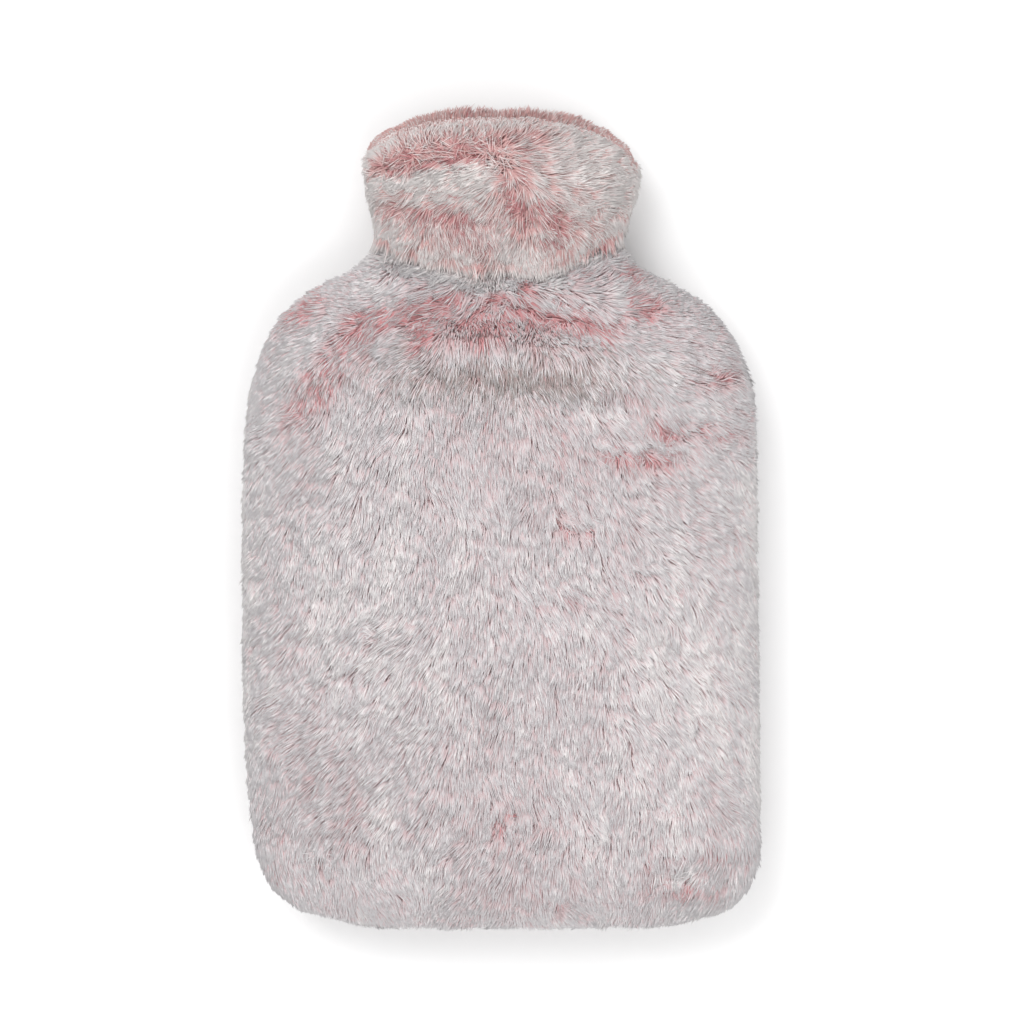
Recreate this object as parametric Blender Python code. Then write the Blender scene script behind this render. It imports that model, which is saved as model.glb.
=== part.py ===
"""Hot water bottle cover of long-pile fur cloth, lying on its back with its neck towards +Y.

A maker cuts and sews three pieces: a front panel, a back panel and a roll-neck collar. The
two panels are walls of cloth and pile round an empty pocket, and meet along a side seam in
one level plane. Their tops are gathered onto the collar, which stands up as the neck, rolls
over at the mouth and hangs down again outside to a free hem.

Lengths in the tables and constants are millimetres, which MM turns into Blender's metres.
The origin is on the floor, under the middle of the cover.
"""

import math
from collections import namedtuple

import bmesh
import bpy
from mathutils import Vector, noise

MM = 0.001
COLLECTION = "hot_water_bottle_cover"

# Heights above the floor and the gap that parts two pieces
SEAM_Z = 25.0  # plane of the side seam, and the middle of the neck
SEAM_GAP = 0.3
NECK_SEAM_GAP = 0.5

# Neck tube, which is the standing part of the collar
NECK_X = -0.8
NECK_HALF_WIDTH = 44.0
NECK_HALF_HEIGHT = 15.5
NECK_WALL = 6.0
PANEL_END_Y = 119.5  # where the panels are sewn to the neck, at its two sides
SLOT = 0.9  # between the neck and the turned-down part of the collar

# Collar
HEM_SIDE_Y = 115.6  # the collar's hem at the two sides
HEM_DROP = 13.0  # how much lower hem and neck seam lie at the middle of the front and back
HEM_DROP_POWER = 2.2
HEM_ROUND = 4.0
HEM_TUFTS = 15  # locks of pile that scallop the hem
HEM_TUFT_DEPTH = 2.4
FOLD_Y = 150.0  # where the collar starts to roll over
SLOT_END_Y = 147.0
FRONT_CREST_DROP = 4.5  # the fold stands this much lower in front than behind

# How full a section is: exponents of its superellipse
OVAL = 2.4
BACK_SQUARE = 3.4
BACK_GAIN = 1.08  # above 1 the crown of the back is cut off flat, to lie on the floor
END_LENGTH = 38.0  # the pocket rounds off over this length at the bottom seam
INNER_FOLD_SHARE = 0.6  # the inner face follows the folds this much

# Unevenness of the pile
LUMP_WIDTH, LUMP_LENGTH = 15.0, 23.0
LUMP_HEIGHT = 3.0

# Grids
FRONT_COLUMNS, BACK_COLUMNS = 38, 18
COLLAR_STEPS, ROLL_STEPS = 76, 7

Section = namedtuple("Section", "y left right front back wall")
# Left and right edge, height of the face and of the back, and thickness of the wall
SECTIONS = [
    Section(-174.6, -50.9, 63.3, 45.0, 2.0, 10.0),
    Section(-171.0, -71.9, 83.8, 46.5, 1.0, 10.0),
    Section(-166.0, -86.9, 98.3, 48.0, 0.0, 10.0),
    Section(-160.0, -95.4, 104.8, 49.5, 0.0, 10.0),
    Section(-152.0, -101.4, 108.8, 51.0, 0.0, 10.0),
    Section(-140.0, -105.2, 110.7, 53.0, 0.0, 10.0),
    Section(-120.0, -107.7, 110.3, 55.0, 0.0, 10.0),
    Section(-80.0, -109.7, 110.3, 57.0, 0.0, 10.0),
    Section(-30.0, -110.4, 109.5, 57.5, 0.0, 10.0),
    Section(20.0, -109.9, 109.3, 56.5, 0.0, 10.0),
    Section(50.0, -108.1, 108.5, 54.5, 0.0, 10.0),
    Section(62.0, -105.0, 105.0, 53.0, 0.0, 10.0),
    Section(72.0, -101.3, 101.2, 51.5, 0.5, 10.0),
    Section(80.0, -97.8, 97.0, 50.0, 1.0, 9.5),
    Section(88.0, -91.5, 90.5, 48.5, 2.0, 9.0),
    Section(94.0, -85.0, 82.5, 47.0, 3.0, 8.5),
    Section(99.0, -75.5, 72.5, 46.0, 4.0, 8.0),
    Section(104.0, -65.5, 62.5, 45.0, 5.0, 7.5),
    Section(108.0, -58.5, 55.0, 44.5, 6.0, 7.0),
    Section(112.4, -54.6, 51.6, 43.0, 8.0, 6.5),
    Section(
        114.8,
        NECK_X - NECK_HALF_WIDTH,
        NECK_X + NECK_HALF_WIDTH,
        SEAM_Z + NECK_HALF_HEIGHT,
        SEAM_Z - NECK_HALF_HEIGHT,
        NECK_WALL,
    ),
    Section(
        PANEL_END_Y,
        NECK_X - NECK_HALF_WIDTH,
        NECK_X + NECK_HALF_WIDTH,
        SEAM_Z + NECK_HALF_HEIGHT,
        SEAM_Z - NECK_HALF_HEIGHT,
        NECK_WALL,
    ),
]

CollarRing = namedtuple("CollarRing", "y left right half_height")
COLLAR_RINGS = [
    CollarRing(100.0, -53.8, 51.6, 25.0),
    CollarRing(118.0, -54.0, 52.0, 25.2),
    CollarRing(126.0, -54.8, 54.2, 25.5),
    CollarRing(136.0, -55.8, 57.2, 25.8),
    CollarRing(145.0, -57.2, 59.2, 26.2),
    CollarRing(FOLD_Y, -58.2, 59.2, 26.4),
]

# Height of the collar's fold across the mouth, as seen from above
Crest = namedtuple("Crest", "x y")
CRESTS = [
    Crest(-56.0, 158.5),
    Crest(-48.0, 166.0),
    Crest(-40.0, 170.6),
    Crest(-30.0, 173.6),
    Crest(-8.0, 175.0),
    Crest(14.0, 174.8),
    Crest(26.0, 173.2),
    Crest(38.0, 169.4),
    Crest(48.0, 163.4),
    Crest(56.0, 156.5),
]

# A fold runs between two points seen from above. Its height is below 0 for a trough.
Fold = namedtuple("Fold", "name x0 y0 x1 y1 width height")
BODY_FOLDS = [
    Fold("left_outer_trough", -64.0, 97.0, -91.0, 68.0, 5.5, -2.4),
    Fold("left_ridge_upper", -50.0, 104.0, -67.0, 85.0, 7.0, 3.4),
    Fold("left_ridge_lower", -67.0, 85.0, -87.0, 54.0, 8.5, 3.0),
    Fold("left_trough_upper", -43.0, 97.0, -59.0, 80.0, 5.0, -3.2),
    Fold("left_trough_lower", -59.0, 80.0, -84.0, 49.0, 5.5, -2.6),
    Fold("left_inner_ridge", -31.0, 104.0, -46.0, 86.0, 5.5, 2.8),
    Fold("left_inner_trough", -36.5, 83.0, -57.0, 62.0, 5.0, -2.4),
    Fold("neckline_left", -36.5, 83.0, -24.0, 90.0, 5.5, -3.4),
    Fold("neckline_dip", -24.0, 90.0, -12.5, 84.5, 5.5, -3.0),
    Fold("neckline_rise", -12.5, 84.5, -2.0, 90.0, 5.5, -3.6),
    Fold("neckline_right", -2.0, 90.0, 18.5, 87.0, 5.5, -3.6),
    Fold("neckline_end", 18.5, 87.0, 46.0, 79.5, 5.5, -3.0),
    Fold("bib_left", -16.0, 98.0, 3.0, 97.0, 6.0, 2.6),
    Fold("bib_right", 17.0, 101.0, 25.0, 93.0, 5.0, 2.8),
    Fold("chest_roll_left", -28.0, 77.0, -4.0, 75.0, 8.0, 2.2),
    Fold("chest_roll_right", -4.0, 75.0, 38.0, 69.0, 7.5, 3.0),
    Fold("chest_crease_left", -30.0, 70.0, -12.0, 68.0, 5.0, -1.6),
    Fold("chest_crease_middle", -12.0, 68.0, 12.0, 60.5, 5.5, -3.4),
    Fold("chest_crease_right", 12.0, 60.5, 42.0, 57.5, 5.5, -3.8),
    Fold("right_ridge", 34.0, 104.0, 45.0, 84.0, 5.5, 3.4),
    Fold("right_trough", 43.0, 103.0, 52.0, 92.0, 4.5, -2.8),
    Fold("right_outer_ridge", 58.0, 99.0, 84.0, 76.0, 8.0, 2.8),
    Fold("right_outer_trough", 52.0, 90.0, 78.0, 66.0, 5.5, -2.8),
    Fold("right_side_dent", 74.0, 56.0, 98.0, 44.0, 6.5, -2.2),
    Fold("right_parting", 32.0, 34.0, 64.0, 27.0, 6.0, -2.6),
    Fold("right_low_parting", 22.0, 4.0, 44.0, 2.0, 5.5, -2.0),
    Fold("lower_hollow", -16.0, -122.0, 6.0, -112.0, 12.0, -2.0),
    Fold("left_low_parting", -76.0, -92.0, -50.0, -78.0, 6.0, -2.0),
    Fold("right_whorl", 58.0, -146.0, 78.0, -136.0, 6.0, -2.0),
]
COLLAR_FOLDS = [
    Fold("upper_parting_left", -54.0, 146.0, -36.0, 150.5, 4.2, -4.0),
    Fold("upper_parting_middle", -36.0, 150.5, -14.0, 152.5, 4.2, -4.4),
    Fold("upper_parting_right", -14.0, 152.5, 16.0, 157.5, 4.2, -3.4),
    Fold("middle_roll_left", -46.0, 139.5, -22.0, 141.0, 5.5, 2.4),
    Fold("middle_roll_right", -22.0, 141.0, 2.0, 146.0, 5.5, 2.6),
    Fold("lower_parting_left", -50.0, 132.5, -16.0, 131.5, 4.2, -3.8),
    Fold("lower_parting_right", -16.0, 131.5, 6.0, 136.0, 4.2, -2.8),
    Fold("skirt_left", -42.0, 118.0, -4.0, 112.0, 8.0, 2.2),
    Fold("middle_parting_upper", 4.0, 149.0, 9.0, 137.0, 4.0, -3.4),
    Fold("middle_parting_lower", 9.0, 137.0, 20.0, 125.0, 4.2, -4.4),
    Fold("skirt_right", 12.0, 112.0, 30.0, 116.0, 6.5, 2.2),
    Fold("right_lower_parting", 47.0, 129.0, 34.0, 113.0, 4.4, -3.2),
    Fold("right_cheek", 22.0, 145.0, 44.0, 139.0, 10.0, 2.2),
]

Cloth = namedtuple("Cloth", "colour roughness")
FUR_CLOTH = Cloth((0.66, 0.55, 0.55, 1.0), 0.9)
COLLAR_CLOTH = Cloth((0.62, 0.49, 0.50, 1.0), 0.9)


def smoothstep(low, high, value):
    """0 below low, 1 above high, and a soft step between them."""
    share = min(max((value - low) / (high - low), 0.0), 1.0)
    return share * share * (3.0 - 2.0 * share)


def read_table(table, column, place, key="y"):
    """A column's value at a place along the key column, on a smooth curve through the rows."""
    rows = [(getattr(row, key), getattr(row, column)) for row in table]
    if place <= rows[0][0]:
        return rows[0][1]
    if place >= rows[-1][0]:
        return rows[-1][1]
    index = next(i for i in range(len(rows) - 1) if rows[i + 1][0] > place)
    steps = [
        (rows[i + 1][1] - rows[i][1]) / (rows[i + 1][0] - rows[i][0])
        for i in range(len(rows) - 1)
    ]

    def slope(i):
        """Slope at row i, flat where the curve turns, so that it never overshoots."""
        if i == 0 or i == len(rows) - 1:
            return steps[min(i, len(steps) - 1)]
        before, after = steps[i - 1], steps[i]
        return 2 * before * after / (before + after) if before * after > 0 else 0.0

    (y0, a), (y1, b) = rows[index], rows[index + 1]
    span = y1 - y0
    t = (place - y0) / span
    return (
        (2 * t**3 - 3 * t**2 + 1) * a
        + (t**3 - 2 * t**2 + t) * span * slope(index)
        + (3 * t**2 - 2 * t**3) * b
        + (t**3 - t**2) * span * slope(index + 1)
    )


def folds_at(folds, x, y):
    """Height of the ridges less the depth of the troughs at a point seen from above.

    Where two folds meet end to end, they count little more than one.
    """
    ridge, trough = 0.0, 0.0
    for fold in folds:
        run_x, run_y = fold.x1 - fold.x0, fold.y1 - fold.y0
        share = ((x - fold.x0) * run_x + (y - fold.y0) * run_y) / (run_x**2 + run_y**2)
        share = min(max(share, 0.0), 1.0)
        away = math.hypot(x - fold.x0 - share * run_x, y - fold.y0 - share * run_y)
        height = fold.height * math.exp(-((away / fold.width) ** 2))
        ridge += max(height, 0.0) ** 4
        trough += min(height, 0.0) ** 4
    return ridge**0.25 - trough**0.25


def lump_at(x, y, z):
    """Unevenness of the pile at a point."""
    place = Vector((x / LUMP_WIDTH, y / LUMP_LENGTH, z / LUMP_WIDTH))
    return LUMP_HEIGHT * noise.noise(place)


def hem_drop(share):
    """How far the hem hangs below its sides, where share is 0 at the middle and 1 at a side."""
    return HEM_DROP * (1.0 - min(abs(share), 1.0) ** HEM_DROP_POWER)


def arch(share, power, root):
    """Height of a superellipse, 1 at the middle and 0 where share is 1."""
    return max(1.0 - abs(share) ** power, 0.0) ** (1.0 / root)


def panel_rows(bottom, fine):
    """The Y of each row of a panel's grid, closer together where the cloth bends more."""
    end_rows = 9 if fine else 6
    rows = [
        bottom + END_LENGTH * (1.0 - math.cos(math.pi / 2 * i / end_rows))
        for i in range(end_rows)
    ]
    stretches = (
        [(34.0, 14), (100.0, 13), (PANEL_END_Y, 9)]
        if fine
        else [(60.0, 9), (100.0, 5), (PANEL_END_Y, 6)]
    )
    start = bottom + END_LENGTH
    for end, count in stretches:
        rows += [start + (end - start) * i / count for i in range(count)]
        start = end
    return [*rows, PANEL_END_Y]


def column_share(t):
    """Where a column lies across a panel: evenly spaced at first, closer near the rims."""
    return 0.3 * t + 0.7 * math.sin(math.pi / 2 * t)


def panel_point(share, row, side, inset, folded):
    """A point of a panel's face.

    share runs from -1 at the left edge to 1 at the right one, row is the Y that the point has
    at the side seam, side is 1 for the front and -1 for the back, inset is 0 on the outer face
    and 1 on the inner one, and folded is how much of the folds shows.
    """
    bottom = SECTIONS[0].y
    y = row - hem_drop(share) * smoothstep(50.0, 100.0, row)
    wall = read_table(SECTIONS, "wall", row) * inset
    left = read_table(SECTIONS, "left", row) + wall
    right = read_table(SECTIONS, "right", row) - wall
    x = (left + right) / 2 + (right - left) / 2 * share
    end_share = 1.0 - min((row - bottom) / END_LENGTH, 1.0)
    rounding = arch(end_share, OVAL, OVAL)
    if side > 0:
        reach = read_table(SECTIONS, "front", row) - SEAM_Z - SEAM_GAP / 2 - wall
        bulge = arch(share, OVAL, OVAL) * rounding
    else:
        reach = SEAM_Z - SEAM_GAP / 2 - read_table(SECTIONS, "back", row) - wall
        body = 1.0 - smoothstep(96.0, 116.0, row)
        power = OVAL + (BACK_SQUARE - OVAL) * body
        gain = 1.0 + (BACK_GAIN - 1.0) * body
        bulge = min(gain * arch(share, power, power) * rounding, 1.0)
    height = reach * bulge
    if folded:
        free = 1.0 - smoothstep(106.0, 113.0, row)
        relief = folds_at(BODY_FOLDS, x, y) + lump_at(x, y, height)
        height += folded * relief * bulge * free
    y += wall * (1.0 - smoothstep(bottom, 0.0, row))
    return Vector((x, y, SEAM_Z + side * (height + SEAM_GAP / 2))) * MM


def build_panel(name, side, columns, fine, cloth):
    """A panel: an outer and an inner face on one grid, joined along the seam and at the neck."""
    rows = panel_rows(SECTIONS[0].y, fine)
    shares = [column_share(2 * i / columns - 1) for i in range(columns + 1)]
    mesh = bmesh.new()
    grids = []
    for inset in (0.0, 1.0):
        made = bmesh.ops.create_grid(
            mesh, x_segments=columns, y_segments=len(rows) - 1, size=1.0
        )["verts"]
        folded = 0.0
        if fine:
            folded = INNER_FOLD_SHARE if inset else 1.0
        for index, vert in enumerate(made):
            row, column = divmod(index, columns + 1)
            vert.co = panel_point(shares[column], rows[row], side, inset, folded)
        grids.append(made)
    rims = [edge for edge in mesh.edges if edge.is_boundary]
    bmesh.ops.bridge_loops(mesh, edges=rims)
    bmesh.ops.recalc_face_normals(mesh, faces=mesh.faces)
    return place_mesh(name, mesh, cloth)


def collar_profile():
    """The collar's section as (layer, share of the way up or over) pairs, in order round it.

    It goes up outside, over the roll, down the throat, round the neck seam, up between the
    neck and the turned-down part, and down that part's inner face to the hem.
    """
    outer = [("outer", step) for step in (0.0, 0.05, 0.15, 0.27, 0.39, 0.51, 0.63, 0.75, 0.88)]
    roll = [("roll", i / ROLL_STEPS) for i in range(ROLL_STEPS + 1)]
    throat = [("throat", step) for step in (0.6, 0.2, 0.0)]
    neck = [("neck", step) for step in (0.0, 0.5, 1.0)]
    inner = [("inner", step) for step in (1.0, 0.5, 0.04)]
    return [*outer, *roll, *throat, *neck, *inner, ("hem", 0.5)]


def collar_point(layer, step, angle):
    """A point of the collar at an angle round the neck, where 90 degrees is the face."""
    turn_x = math.copysign(abs(math.cos(angle)) ** (2 / OVAL), math.cos(angle))
    turn_z = math.copysign(abs(math.sin(angle)) ** (2 / OVAL), math.sin(angle))
    tuft = 0.5 - 0.5 * math.cos(HEM_TUFTS * angle + 1.7 * math.sin(3 * angle))
    hem = HEM_SIDE_Y - hem_drop(turn_x) + HEM_TUFT_DEPTH * tuft
    seam = PANEL_END_Y + NECK_SEAM_GAP - hem_drop(turn_x)
    throat_width = NECK_HALF_WIDTH - NECK_WALL
    throat_height = NECK_HALF_HEIGHT - NECK_WALL
    inner_width = NECK_HALF_WIDTH + SLOT
    inner_height = NECK_HALF_HEIGHT + SLOT
    outward = 0.0
    if layer in ("outer", "roll"):
        rise = min(step, 1.0) if layer == "outer" else 1.0
        y = hem + HEM_ROUND * 0.5 + (FOLD_Y - hem - HEM_ROUND * 0.5) * rise
        left = read_table(COLLAR_RINGS, "left", y)
        right = read_table(COLLAR_RINGS, "right", y)
        middle, width = (left + right) / 2, (right - left) / 2
        height = read_table(COLLAR_RINGS, "half_height", y)
        over = 0.0
        if layer == "roll":
            over = (1.0 - math.cos(math.pi * step)) / 2
            crest_x = middle + (width + throat_width) / 2 * turn_x
            crest = read_table(CRESTS, "y", crest_x, key="x")
            crest -= FRONT_CREST_DROP * smoothstep(-0.5, 0.5, turn_z)
            y += (crest - FOLD_Y) * math.sin(math.pi * step)
            middle += (NECK_X - middle) * over
            width += (throat_width - width) * over
            height += (throat_height - height) * over
        x, z = middle + width * turn_x, height * turn_z
        facing = smoothstep(-0.2, 0.3, turn_z)
        relief = folds_at(COLLAR_FOLDS, x, y) * facing + lump_at(x, y, z)
        outward = relief * (1.0 - smoothstep(0.3, 0.9, over))
        if layer == "outer" and step == 0.0:
            outward -= HEM_ROUND * 0.6
    elif layer == "throat":
        y = seam + (FOLD_Y - seam) * step
        middle, width, height = NECK_X, throat_width, throat_height
    elif layer == "neck":
        y = seam + (SLOT_END_Y - seam) * step
        middle, width, height = NECK_X, NECK_HALF_WIDTH, NECK_HALF_HEIGHT
    elif layer == "inner":
        y = hem + (SLOT_END_Y - hem) * step
        middle, width, height = NECK_X, inner_width, inner_height
    else:
        y = hem
        ring_left = read_table(COLLAR_RINGS, "left", y)
        ring_right = read_table(COLLAR_RINGS, "right", y)
        middle = ((ring_left + ring_right) / 2 + NECK_X) / 2
        width = ((ring_right - ring_left) / 2 + inner_width) / 2
        height = (read_table(COLLAR_RINGS, "half_height", y) + inner_height) / 2
    x = middle + (width + outward) * turn_x
    z = SEAM_Z + (height + outward) * turn_z
    return Vector((x, y, max(z, 0.0))) * MM


def build_collar(name, cloth):
    """The collar: a torus whose ring becomes the neck's oval and whose tube the hooked section."""
    profile = collar_profile()
    bpy.ops.mesh.primitive_torus_add(
        major_segments=COLLAR_STEPS,
        minor_segments=len(profile),
        major_radius=NECK_HALF_WIDTH * MM,
        minor_radius=NECK_WALL * MM,
    )
    torus = bpy.context.object
    mesh = bmesh.new()
    mesh.from_mesh(torus.data)
    bpy.data.objects.remove(torus)
    mesh.verts.ensure_lookup_table()
    for index, vert in enumerate(mesh.verts):
        ring, place = divmod(index, len(profile))
        layer, step = profile[place]
        angle = 2 * math.pi * ring / COLLAR_STEPS
        vert.co = collar_point(layer, step, angle)
    bmesh.ops.recalc_face_normals(mesh, faces=mesh.faces)
    return place_mesh(name, mesh, cloth)


def fur_material(name, cloth):
    """A matt cloth finish in the pile's mean colour."""
    material = bpy.data.materials.new(name)
    material.use_nodes = True
    shader = material.node_tree.nodes["Principled BSDF"]
    shader.inputs["Base Color"].default_value = cloth.colour
    shader.inputs["Roughness"].default_value = cloth.roughness
    shader.inputs["Metallic"].default_value = 0.0
    return material


def place_mesh(name, mesh, cloth):
    """Turns a bmesh into a smooth-shaded object in the cover's collection."""
    data = bpy.data.meshes.new(name)
    mesh.to_mesh(data)
    mesh.free()
    data.shade_smooth()
    data.materials.append(fur_material(name, cloth))
    piece = bpy.data.objects.new(name, data)
    bpy.data.collections[COLLECTION].objects.link(piece)
    return piece


def main():
    """Clears the scene and builds the cover."""
    for old in list(bpy.data.objects):
        bpy.data.objects.remove(old)
    cover = bpy.data.collections.new(COLLECTION)
    bpy.context.scene.collection.children.link(cover)
    build_panel("front_panel", 1, FRONT_COLUMNS, True, FUR_CLOTH)
    build_panel("back_panel", -1, BACK_COLUMNS, False, FUR_CLOTH)
    build_collar("collar", COLLAR_CLOTH)


main()
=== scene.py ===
"""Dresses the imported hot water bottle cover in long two-tone pile.

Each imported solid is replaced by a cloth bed, a copy of it whose furred faces are sunk by the
depth of the pile, and the bed is covered with strands. The strands are combed by short tables
of directions and partings that were read off the photograph, gathered into locks, and coloured
from rosy roots to whitish tips through a map of their own.
"""

import logging
import math
from dataclasses import dataclass
from enum import Enum
from typing import NamedTuple

import bpy
import numpy as np
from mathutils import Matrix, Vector, kdtree
from mathutils.bvhtree import BVHTree


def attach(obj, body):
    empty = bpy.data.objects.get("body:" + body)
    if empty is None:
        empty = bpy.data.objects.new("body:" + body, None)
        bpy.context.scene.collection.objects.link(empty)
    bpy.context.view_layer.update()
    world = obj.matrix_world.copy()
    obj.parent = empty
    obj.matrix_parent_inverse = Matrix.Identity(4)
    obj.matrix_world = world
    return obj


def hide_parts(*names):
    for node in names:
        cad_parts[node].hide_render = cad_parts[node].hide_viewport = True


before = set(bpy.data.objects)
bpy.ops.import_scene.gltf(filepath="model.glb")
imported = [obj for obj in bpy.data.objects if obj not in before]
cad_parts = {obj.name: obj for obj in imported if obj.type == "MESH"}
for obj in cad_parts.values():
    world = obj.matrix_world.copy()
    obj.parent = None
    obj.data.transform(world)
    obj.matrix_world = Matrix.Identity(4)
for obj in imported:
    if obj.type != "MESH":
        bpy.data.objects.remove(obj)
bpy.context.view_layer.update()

Array = np.ndarray
Colour = tuple[float, float, float]
Point = tuple[float, float, float]
Line = tuple[tuple[float, float], ...]

log = logging.getLogger("hot_water_bottle_cover")

MM = 0.001

# Places on the cover, in metres: the side seam's height, where the collar's roll starts, and the
# middle of the mouth
SEAM_Z = 0.025
ROLL_Y = 0.151
MOUTH_X = 0.003

# The strands' own map, the size of its pixel, and where on it the strands darkened with painted
# shade start
PILE_MAP = "OFBake"
MAP_PIXEL = 1.0 / 1024.0
PAINTED_SHADE_START = 0.82

# The beds' attribute that says how rosy their underfur is
BLUSH = "blush"


class Lay(NamedTuple):
    """Which way the pile points at a place seen from above.

    x and y are in millimetres. turn is in degrees from straight down the cover: positive to
    the right, negative to the left, and 180 towards the mouth.
    """

    x: float
    y: float
    turn: float


class Parting(NamedTuple):
    """A line from which the pile falls away to both sides, in millimetres seen from above."""

    x0: float
    y0: float
    x1: float
    y1: float
    reach: float
    strength: float


class Tint(NamedTuple):
    """A soft patch of pile that is rosier, or frostier below 0. Some frostier patches give whiter
    tips as painted light.

    x and y are its centre, and across and along its half sizes, in millimetres seen from above.
    Its tips are more worn, and its seventh value is the share of its strands darkened with
    painted shade. turn is in degrees, counter-clockwise.
    """

    x: float
    y: float
    across: float
    along: float
    rosy: float
    worn: float = 0.0
    painted_shade: float = 0.0
    turn: float = 0.0


class Side(Enum):
    """Which part of the cover a coat of pile belongs to."""

    FRONT = "front"
    BACK = "back"
    COLLAR = "collar"


PANEL_LAY = [
    Lay(*row)
    for row in (
        (-66, 102, -112), (-77, 92, -100), (-49, 111, -5), (-86, 78, -60), (-97, 69, -42),
        (-66, 70, -50), (-86, 44, -50), (-104, 41, -58), (-58, 58, -12), (-43, 73, -44),
        (-28, 90, -70), (-13, 74, 0), (8, 73, 0), (-26, 46, 0), (-62, 33, -20), (-90, 28, -28),
        (31, 78, 15), (43, 73, 22), (21, 85, 50), (39, 81, 72), (30, 105, 130), (50, 99, 135),
        (59, 87, 92), (76, 82, 86), (67, 71, 52), (91, 65, 82), (84, 50, 58), (49, 51, 15),
        (64, 45, 38), (31, 39, 18), (97, 33, 74), (91, 19, 38), (49, 20, 20), (8, 7, 0),
        (31, 7, 38), (63, 2, 35), (95, -1, 50), (36, -19, 22), (56, -23, 42), (90, -24, 44),
        (-43, 7, -3), (-104, -16, -50), (-90, -12, -8), (-54, -33, -5), (-99, -48, -45),
        (-51, -52, -42), (-65, -69, -46), (-83, -90, -50), (-32, -67, -28), (-11, -73, -12),
        (7, -56, 0), (35, -65, 8), (72, -69, 25), (101, -67, 40), (-99, -103, -18),
        (-54, -103, -42), (-69, -127, -36), (-43, -128, -20), (-20, -118, -5), (-6, -136, -24),
        (-90, -149, 5), (-48, -154, 12), (-20, -164, -16), (31, -103, 10), (70, -107, 25),
        (96, -118, 42), (63, -135, 5), (25, -158, 10), (51, -164, 0), (90, -146, -22),
        (102, -149, -8),
    )
]

COLLAR_LAY = [
    Lay(*row)
    for row in (
        (-48, 163, -140), (-30, 172, 180), (8, 172, 178), (31, 169, 150), (46, 163, 130),
        (-40, 159, -160), (-28, 159, 175), (-7, 161, 170), (6, 162, 150), (17, 164, 130),
        (25, 157, 108), (42, 156, 95), (-37, 146, -12), (-26, 147, -22), (-13, 147, -50),
        (-5, 143, -58), (-23, 137, -75), (-52, 141, -68), (-43, 139, -80), (0, 136, -50),
        (10, 150, 80), (25, 145, 85), (42, 143, 82), (56, 143, 55), (21, 136, 72),
        (37, 135, 78), (51, 125, 30), (30, 129, 70), (-40, 127, -38), (-51, 126, -50),
        (-34, 119, -18), (-26, 119, -5), (-15, 119, 4), (-5, 118, 6), (5, 121, -12),
        (8, 130, -14), (14, 115, 22), (19, 119, 32), (25, 115, 40), (31, 119, 58),
        (42, 118, 20), (39, 115, -50), (51, 118, 5), (-54, 118, -10),
    )
]

PANEL_PARTINGS = [
    Parting(*row)
    for row in (
        (-37, 83, -24, 90, 5, 1), (-24, 90, -13, 85, 5, 1), (-13, 85, -4, 90, 5, 1),
        (-4, 90, 5, 91, 5, 1), (7, 108, 8, 92, 4.5, 0.8), (8, 90, 25, 83, 4.5, 0.8),
        (25, 83, 42, 81, 4.5, 0.8), (-49, 92, -60, 82, 7, 0.4), (-60, 82, -70, 69, 8, 0.4),
        (-70, 69, -85, 44, 8, 0.35), (42, 108, 45, 99, 4, 0.7), (53, 86, 63, 88, 4, 0.8),
        (28, 104, 34, 99, 4, 0.6), (39, 29, 61, 27, 5, 0.9), (61, 27, 73, 28, 5, 0.9),
        (62, 42, 67, 38, 4, 0.8), (67, 38, 96, 35, 4.5, 0.8), (89, 57, 96, 58, 4, 0.7),
        (22, 7, 25, -1, 3.5, 0.8), (25, -1, 36, -3, 3.5, 0.9), (54, -21, 61, -23, 3.5, 0.8),
        (24, -30, 33, -34, 3, 0.6), (46, -43, 47, -45, 3, 0.6), (93, -4, 97, -7, 3.5, 0.7),
        (-49, -44, -52, -52, 3.5, 0.8), (-73, -70, -61, -62, 3.5, 0.8),
        (-75, -143, -73, -149, 3, 0.8), (1, -125, -2, -132, 3.5, 1),
        (-24, -141, -17, -136, 3, 0.7), (61, -155, 70, -156, 4, 0.8),
        (70, -156, 80, -152, 4, 0.8), (80, -152, 87, -146, 4, 0.7),
        (70, -138, 73, -139, 3, 0.8), (25, -158, 21, -165, 4, 0.7),
        (-91, -30, -90, -33, 3, 0.6), (-11, 64, -9, 62, 3.5, 0.6),
    )
]

COLLAR_PARTINGS = [
    Parting(*row)
    for row in (
        (-54, 146, -45, 147, 3.2, 0.9), (-45, 147, -37, 151, 3.2, 1),
        (-37, 151, -32, 150, 3.2, 1), (-32, 150, -22, 154, 3.2, 1),
        (-22, 154, -9, 153, 3.2, 0.9), (-9, 153, 6, 157, 3.6, 0.5), (6, 157, 17, 159, 3.6, 0.4),
        (-48, 133, -32, 133, 3.4, 1), (-32, 133, -13, 132, 3.4, 1),
        (-13, 132, -7, 130, 3.2, 0.7), (4, 149, 3, 141, 3.6, 0.6), (3, 141, 9, 132, 3.2, 1),
        (9, 132, 10, 125, 3, 0.9), (17, 129, 22, 125, 3, 1), (22, 125, 23, 118, 3, 0.8),
        (48, 129, 42, 123, 3.4, 0.9), (42, 123, 33, 112, 3.4, 1), (-7, 116, -6, 110, 2.6, 0.6),
        (25, 160, 35, 159, 3, 0.5), (46, 152, 54, 148, 3, 0.6),
    )
]


# Rows with a seventh value darken that share of their strands with painted shade, mostly along
# the crease across the chest near y 60.
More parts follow.
